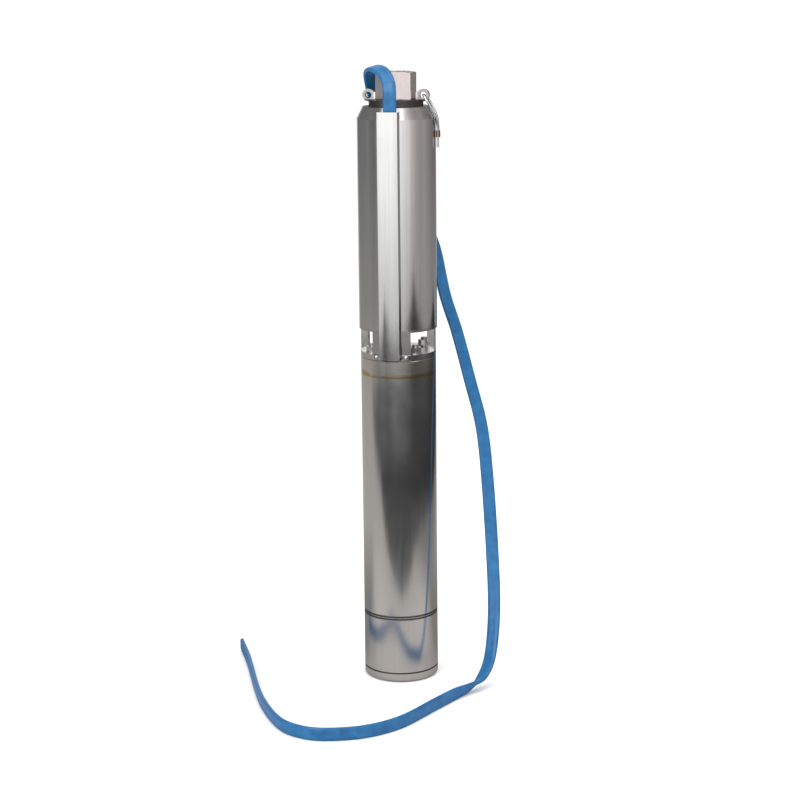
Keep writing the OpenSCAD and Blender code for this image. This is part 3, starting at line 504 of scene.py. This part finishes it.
CORE_COLORS = [
    ("core_brown", (0.11, 0.045, 0.02)), ("core_black", (0.02, 0.02, 0.02)),
    ("core_grey", (0.26, 0.26, 0.26)), ("core_green", (0.12, 0.30, 0.04))
]
COPPER = (0.70, 0.32, 0.16)
CORE_PITCH = CABLE_WIDTH / CABLE_CORES * 0.9
CORE_RADIUS = 0.0016
BUNDLE_RADIUS = 0.0009
STRANDS_AROUND = 6
STRAND_REACH = BUNDLE_RADIUS * 0.66
STRAND_RADIUS = BUNDLE_RADIUS * 0.33
STRAND_FACETS = 10
CORE_STICK_OUT = 0.0002
STRAND_STICK_OUT = 0.0004
# A stub's length inside the cable, and its rim, in shares of what sticks out and of its radius
STUB_DEPTH = 0.002
STUB_RIM_START = 0.6
STUB_RIM = 0.9


def disc_stub(bm, centre, along, radius, out, sides=24):
    """A short rod in the cable's cut end, with a chamfered rim."""
    side = along.orthogonal().normalized()
    other = along.cross(side)
    rings = []
    for r, x in ((radius, -STUB_DEPTH), (radius, out * STUB_RIM_START), (radius * STUB_RIM, out)):
        middle = centre + along * x
        rings.append([bm.verts.new(middle + (side * c + other * s) * r) for c, s in circle_points(sides)])
    skin(bm, rings)


def cut_cores(path, side):
    """The four insulated cores and their copper strands in the cable's cut end."""
    along = (path[-1] - path[-2]).normalized()
    width = (side - side.dot(along) * along).normalized()
    across = along.cross(width)
    copper = bmesh.new()
    pieces = []
    for i, (name, color) in enumerate(CORE_COLORS):
        centre = path[-1] + width * CORE_PITCH * (i - (CABLE_CORES - 1) / 2)
        bm = bmesh.new()
        disc_stub(bm, centre, along, CORE_RADIUS, CORE_STICK_OUT)
        pieces.append(link_mesh(name, bm, plain_polymer(name, color)))
        for c, s in circle_points(STRANDS_AROUND) + [(0, 0)]:
            place = centre + (width * c + across * s) * STRAND_REACH
            disc_stub(copper, place, along, STRAND_RADIUS, STRAND_STICK_OUT, STRAND_FACETS)
    metal = cast_metal("core_copper", COPPER, (0.25, 0.4))
    return pieces + [link_mesh("core_strands", copper, metal)]


def make_cable():
    path = smooth([Vector(p) * MM for p in CABLE_ROUTE], CABLE_STEPS)
    sides = smooth(CABLE_SIDES, CABLE_STEPS)
    section = cable_section()
    bm = bmesh.new()
    sweep(bm, path, sides, [section] * len(path))
    cable = link_mesh("flat_cable", bm, MATERIALS["blue_jacket"])
    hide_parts("drop_cable")
    cores = cut_cores(path, sides[-1])


make_cable()

# Wire loop through the right lifting eye, closed by a ferrule
WIRE_DIAMETER = 0.003
WIRE_ROUTE = [
    (51.4, -1.8, 668), (51.4, -1.8, 680), (51.4, -1.8, 688), (51, -2.4, 695), (49.9, -3.6, 702),
    (47.6, -4.9, 709), (44, -6.2, 716), (39.8, -7.2, 723), (36.2, -5.6, 727.4), (34.4, -2.8, 729.4),
    (33.8, 0, 730), (34.4, 2.8, 729.4), (36.2, 5.6, 727.4), (39.8, 7.2, 723), (44, 6.2, 716),
    (47.6, 4.9, 709), (49.9, 3.6, 702), (51, 2.4, 695), (51.4, 1.8, 688), (51.4, 1.8, 682)
]
WIRE_SIDE = Vector((1, 0, 0.9))
WIRE_STRANDS = 6
WIRE_LAY = 0.013
WIRE_STEPS = 12
WIRE_FACETS = 36
# Depth of the valleys between the strands, as a share of the radius
WIRE_VALLEY = 0.20


def wire_section(twist):
    """Outline of the laid strands, turned by twist."""
    outline = []
    for k in range(WIRE_FACETS):
        a = 2 * math.pi * k / WIRE_FACETS
        crest = abs(math.cos(WIRE_STRANDS / 2 * (a + twist)))
        r = WIRE_DIAMETER / 2 * (1 - WIRE_VALLEY + WIRE_VALLEY * crest)
        outline.append((r * math.cos(a), r * math.sin(a)))
    return outline


def make_wire_loop():
    path = smooth([Vector(p) * MM for p in WIRE_ROUTE], WIRE_STEPS)
    sections, along = [], 0.0
    for i, p in enumerate(path):
        along += (p - path[i - 1]).length if i else 0.0
        sections.append(wire_section(2 * math.pi * along / WIRE_LAY))
    bm = bmesh.new()
    sweep(bm, path, [WIRE_SIDE] * len(path), sections)
    wire = link_mesh("stranded_loop", bm, MATERIALS["wire_rope"])
    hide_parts("wire_loop")


make_wire_loop()

# Threads of the outlet and the studs
HELIX_STEPS = 48
# Outline of a ridge, in shares of its pitch and its height
RIDGE_OUTLINE = [(-0.45, 0.0), (-0.12, 1.0), (0.12, 1.0), (0.45, 0.0), (0.0, -0.2)]
# A ridge runs out at both ends over these steps, to this share of its height
RUN_OUT_STEPS = 24
RUN_OUT_LEAST = 0.02


def helix(radius, low, high, pitch):
    count = int((high - low) / pitch * HELIX_STEPS)
    angles = [2 * math.pi * k / HELIX_STEPS for k in range(count + 1)]
    return [Vector((radius * math.cos(a), radius * math.sin(a), low + (high - low) * k / count))
            for k, a in enumerate(angles)]


def thread_ridges(name, places, radius, low, high, pitch, height, material, inward=False):
    """Screw thread as a ridge wound on a cylinder, or on a bore's wall where inward is set."""
    bm = bmesh.new()
    sign = -1 if inward else 1
    path = helix(radius, low, high, pitch)
    last = len(path) - 1
    for x, y in places:
        rings = []
        for i, point in enumerate(path):
            size = height * max(RUN_OUT_LEAST, min(1.0, i / RUN_OUT_STEPS, (last - i) / RUN_OUT_STEPS))
            out = Vector((point.x, point.y, 0)).normalized() * sign
            rings.append([bm.verts.new(point + out * (h * size) + Vector((x, y, dz * pitch)))
                          for dz, h in RIDGE_OUTLINE])
        skin(bm, rings)
    link_mesh(name, bm, material)


OUTLET_RADIUS = 0.0195
OUTLET_THREAD = 0.028
OUTLET_LEAD_IN = 0.002
OUTLET_PITCH = 0.00231
OUTLET_RIDGE = 0.0012
STUD_CIRCLE = 0.0381
STUD_ANGLES = (45, 135, 225, 315)
STUD_RADIUS = 0.00395
STUD_SINK = 0.0003
STUD_IN_NUT = 0.0008
STUD_LEAD_IN = 0.0006
STUD_PITCH = 0.00125
STUD_RIDGE = 0.0005


def make_threads():
    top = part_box("discharge_head")[1].z
    thread_ridges("outlet_thread", [(0, 0)], OUTLET_RADIUS, top - OUTLET_THREAD, top - OUTLET_LEAD_IN,
                  OUTLET_PITCH, OUTLET_RIDGE, MATERIALS["cast_steel"], inward=True)
    angles = [math.radians(a) for a in STUD_ANGLES]
    spots = [(STUD_CIRCLE * math.cos(a), STUD_CIRCLE * math.sin(a)) for a in angles]
    low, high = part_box("stud_nuts")[1].z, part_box("motor_studs")[1].z
    thread_ridges("stud_threads", spots, STUD_RADIUS - STUD_SINK, low - STUD_IN_NUT, high - STUD_LEAD_IN,
                  STUD_PITCH, STUD_RIDGE, MATERIALS["fastener_steel"])


make_threads()

# The cable guard's two screws
SCREW_ANGLE = math.radians(23)
SCREW_HEIGHT = 0.4163
SCREW_SEAT = 0.0486
SCREW_HEAD = 0.0027
SCREW_RISE = 0.0018
SCREW_SHANK = 0.00145
SCREW_LENGTH = 0.0121
SCREW_RINGS = 16
SCREW_FACETS = 64
# How much of the head's rise the dome loses at its rim
SCREW_DOME = 0.75
RECESS_HALF_WIDTH = 0.00034
RECESS_REACH = 0.0015
RECESS_DEPTH = 0.0011
RECESS_TURN = 0.5


def screw(bm, place):
    """Screw along X: domed head with a cross recess on its seat, and the shank behind it."""
    circle = circle_points(SCREW_FACETS)
    rings = []
    for i in range(1, SCREW_RINGS + 1):
        r = SCREW_HEAD * i / SCREW_RINGS
        rise = SCREW_RISE * (1 - SCREW_DOME * (r / SCREW_HEAD) ** 3)
        row = []
        for c, s in circle:
            near, far = sorted((abs(r * c), abs(r * s)))
            depth = RECESS_DEPTH if near < RECESS_HALF_WIDTH and far < RECESS_REACH else 0.0
            row.append(bm.verts.new(place @ Vector((rise - depth, r * c, r * s))))
        rings.append(row)
    for x, r in ((0, SCREW_HEAD), (0, SCREW_SHANK), (-SCREW_LENGTH, SCREW_SHANK)):
        rings.append([bm.verts.new(place @ Vector((x, r * c, r * s))) for c, s in circle])
    skin(bm, rings)


def make_screws():
    bm = bmesh.new()
    for side in (-1, 1):
        turn = Matrix.Rotation(side * SCREW_ANGLE - math.pi / 2, 4, "Z")
        seat = Matrix.Translation((SCREW_SEAT, 0, SCREW_HEIGHT))
        screw(bm, turn @ seat @ Matrix.Rotation(side * RECESS_TURN, 4, "X"))
    screws = link_mesh("cross_screws", bm, MATERIALS["fastener_steel"])
    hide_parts("guard_screws")


make_screws()

# The check valve's spring
SPRING_RADIUS = 0.0055
SPRING_WIRE = 0.001
SPRING_TURNS = 4
SPRING_FACETS = 12


def make_spring():
    low, high = (v.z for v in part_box("valve_spring"))
    half = SPRING_WIRE / 2
    path = helix(SPRING_RADIUS, low + half, high - half, (high - low - SPRING_WIRE) / SPRING_TURNS)
    section = [(half * c, half * s) for c, s in circle_points(SPRING_FACETS)]
    bm = bmesh.new()
    sweep(bm, path, [Vector((0, 0, 1))] * len(path), [section] * len(path))
    spring = link_mesh("valve_coil", bm, MATERIALS["spring_steel"])
    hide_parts("valve_spring")
    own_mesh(spring)


make_spring()

# Floor and reflection cards


def stage_mesh(name, corners, material):
    bm = bmesh.new()
    bm.faces.new([bm.verts.new(c) for c in corners])
    mesh = bpy.data.meshes.new(name)
    bm.to_mesh(mesh)
    bm.free()
    obj = bpy.data.objects.new(name, mesh)
    bpy.context.collection.objects.link(obj)
    mesh.materials.append(material)
    return obj


def in_view(right, front, z):
    """A point given to the right of and in front of the pump's axis, as the camera sees it."""
    return VIEW_RIGHT * right + VIEW_FRONT * front + Vector((0, 0, z))


def reflection_only(obj):
    obj.visible_camera = False
    obj.visible_diffuse = False
    obj.visible_shadow = False
    obj.visible_transmission = False


def matt(n, shade):
    return n.set(Base_Color=shade, Roughness=0.9, Specular_IOR_Level=0.0)


def floor_material():
    n = Nodes("pale_floor")
    return matt(n, n.ramp(n.noise(6.0, 2.0), [(0.3, 0.91), (0.7, 0.94)]))


def floor_reflection_shade_material():
    """Floor seen only in the lower motor's reflection, with painted shade: bright by its foot, grey behind
    and further out, darker on the right.
    """
    n = Nodes("shaded_floor_reflection")
    # A ramp starts at nought, so half a metre is added to the distance in front
    front = n.math("ADD", n.along(VIEW_FRONT), 0.5)
    close = n.ramp(front, [(0.42, (0.20, 0.19, 0.185)), (0.56, (0.46, 0.43, 0.405)),
                           (0.68, (0.47, 0.44, 0.415)), (0.92, (0.40, 0.375, 0.355))])
    far = n.ramp(n.length(n.place), [(0.35, 0.0), (0.75, 1.0)])
    right = n.ramp(n.along(VIEW_RIGHT), [(0.34, 0.0), (0.60, 1.0)])
    shade = n.mix(far, close, (0.37, 0.35, 0.33))
    return matt(n, n.mix(right, shade, (0.19, 0.185, 0.18)))


def dark_card_material():
    """Painted dark reflection, seen only in the polished steel: nearly black and cloudy, and a little lighter
    towards the pump.
    """
    n = Nodes("dark_card")
    away = n.math("ADD", n.length(n.place), n.math("MULTIPLY", n.noise(6.0, 2.0), 0.10))
    shade = n.ramp(away, [(0.44, (0.18, 0.18, 0.18)), (0.60, (0.125, 0.126, 0.129)),
                          (0.85, (0.052, 0.052, 0.053)), (1.0, (0.040, 0.040, 0.041))])
    cloud = n.ramp(n.noise(7.0, 3.0), [(0.36, 0.48), (0.64, 1.0)])
    return matt(n, n.mix(1.0, shade, cloud, "MULTIPLY"))


FLOOR_HALF = 8.0
NEAR_FLOOR_RADIUS = 2.4
NEAR_FLOOR_HEIGHT = 0.0005
NEAR_FLOOR_FACETS = 64
CARD_HEIGHT = 0.001
# To the right of and in front of the pump's axis
CARD_OUTLINE = [
    (-1.75, -0.05), (-1.53, 0.05), (-0.87, 0.50), (-0.50, 0.50), (-0.24, 0.47), (0.02, 0.40), (0.42, 0.45),
    (0.68, 0.32), (0.82, 0.0), (0.76, -0.6), (0.72, -1.3), (0.90, -1.9), (2.4, -1.9), (2.4, 2.3), (-1.75, 2.3)
]


def make_floor():
    corners = [(x * FLOOR_HALF, y * FLOOR_HALF, 0) for x, y in ((-1, -1), (1, -1), (1, 1), (-1, 1))]
    floor = stage_mesh("pale_floor", corners, floor_material())
    floor.visible_glossy = False
    disc = [(NEAR_FLOOR_RADIUS * c, NEAR_FLOOR_RADIUS * s, NEAR_FLOOR_HEIGHT)
            for c, s in circle_points(NEAR_FLOOR_FACETS)]
    # A floor copy seen only in reflections, carrying painted shade
    reflection_only(stage_mesh("shaded_floor_reflection", disc, floor_reflection_shade_material()))
    card = [in_view(r, f, CARD_HEIGHT) for r, f in CARD_OUTLINE]
    # A card seen only in reflections: painted dark reflection on the polished steel
    reflection_only(stage_mesh("dark_card", card, dark_card_material()))


make_floor()

# Brightness of the room that the polished steel mirrors, by turns from behind round the left side
ROOM = [
    (0.0, 0.48), (0.05, 0.44), (0.09, 0.112), (0.19, 0.134), (0.243, 0.15), (0.287, 0.11), (0.33, 0.111),
    (0.36, 0.96), (0.48, 0.96), (0.54, 0.736), (0.593, 0.60), (0.627, 0.408), (0.663, 0.288), (0.70, 0.232),
    (0.743, 0.256), (0.79, 0.18), (0.852, 0.124), (0.94, 0.096), (0.97, 0.40), (1.0, 0.48)
]
ROOM_STRENGTH = 1.75
# The room's right side is a little warmer
ROOM_WARM = (1.06, 0.98, 0.97)
WARM_TURNS = (0.58, 0.95)
# Towards the floor the room fades to one grey
ROOM_LOW = (0.24, 0.235, 0.23, 1)
FADE_START = 0.088
FADE_RATE = 8.3
FADE_MOST = 0.62
# The even white light on everything else
WHITE_STRENGTH = 1.12


def room_around(tree, direction):
    """The room's brightness in each direction round the pump."""
    turn = tree.nodes.new("ShaderNodeMapping")
    turn.inputs["Rotation"].default_value = (0, 0, math.pi / 2 - CAMERA_AZIMUTH)
    tree.links.new(direction, turn.inputs["Vector"])
    around = tree.nodes.new("ShaderNodeTexGradient")
    around.gradient_type = "RADIAL"
    tree.links.new(turn.outputs["Vector"], around.inputs["Vector"])
    ramp = tree.nodes.new("ShaderNodeValToRGB")
    points = ramp.color_ramp.elements
    while len(points) < len(ROOM):
        points.new(0.5)
    for point, (at, grey) in zip(points, ROOM):
        point.position = at
        cast = ROOM_WARM if WARM_TURNS[0] < at < WARM_TURNS[1] else (1, 1, 1)
        point.color = (*[grey * c for c in cast], 1)
    tree.links.new(around.outputs["Fac"], ramp.inputs["Fac"])
    return ramp.outputs["Color"]


def faded_low(tree, direction, color):
    """The room's brightness, faded towards the floor."""
    rise = tree.nodes.new("ShaderNodeSeparateXYZ")
    tree.links.new(direction, rise.inputs["Vector"])
    fade = tree.nodes.new("ShaderNodeMapRange")
    limits = (-FADE_START, -FADE_START - FADE_MOST / FADE_RATE, 0.0, FADE_MOST)
    for socket, value in zip(fade.inputs[1:5], limits):
        socket.default_value = value
    tree.links.new(rise.outputs["Z"], fade.inputs["Value"])
    blend = tree.nodes.new("ShaderNodeMixRGB")
    blend.inputs["Color2"].default_value = ROOM_LOW
    tree.links.new(fade.outputs["Result"], blend.inputs["Fac"])
    tree.links.new(color, blend.inputs["Color1"])
    return blend.outputs["Color"]


def make_world():
    world = bpy.data.worlds.new("studio")
    bpy.context.scene.world = world
    world.use_nodes = True
    tree = world.node_tree
    plain = tree.nodes["Background"]
    plain.inputs["Color"].default_value = (1, 1, 1, 1)
    plain.inputs["Strength"].default_value = WHITE_STRENGTH
    direction = tree.nodes.new("ShaderNodeTexCoord").outputs["Generated"]
    room = tree.nodes.new("ShaderNodeBackground")
    room.inputs["Strength"].default_value = ROOM_STRENGTH
    tree.links.new(faded_low(tree, direction, room_around(tree, direction)), room.inputs["Color"])
    mix = tree.nodes.new("ShaderNodeMixShader")
    tree.links.new(tree.nodes.new("ShaderNodeLightPath").outputs["Is Glossy Ray"], mix.inputs["Fac"])
    tree.links.new(plain.outputs["Background"], mix.inputs[1])
    tree.links.new(room.outputs["Background"], mix.inputs[2])
    tree.links.new(mix.outputs["Shader"], tree.nodes["World Output"].inputs["Surface"])


make_world()

# Lamps, aimed at the middle of the pump
LAMP_AIM = Vector((0, 0, 0.4))


def area_light(name, right, front, z, size, power):
    data = bpy.data.lights.new(name, "AREA")
    data.shape = "RECTANGLE"
    data.size, data.size_y = size
    data.energy = power
    light = bpy.data.objects.new(name, data)
    bpy.context.collection.objects.link(light)
    light.location = in_view(right, front, z)
    light.rotation_euler = (LAMP_AIM - light.location).to_track_quat("-Z", "Y").to_euler()


area_light("key", right=-1.6, front=2.2, z=2.2, size=(1.4, 1.4), power=30)
area_light("top", right=0.3, front=0.2, z=2.6, size=(2.0, 2.0), power=25)
bpy.context.scene.view_settings.view_transform = "Standard"
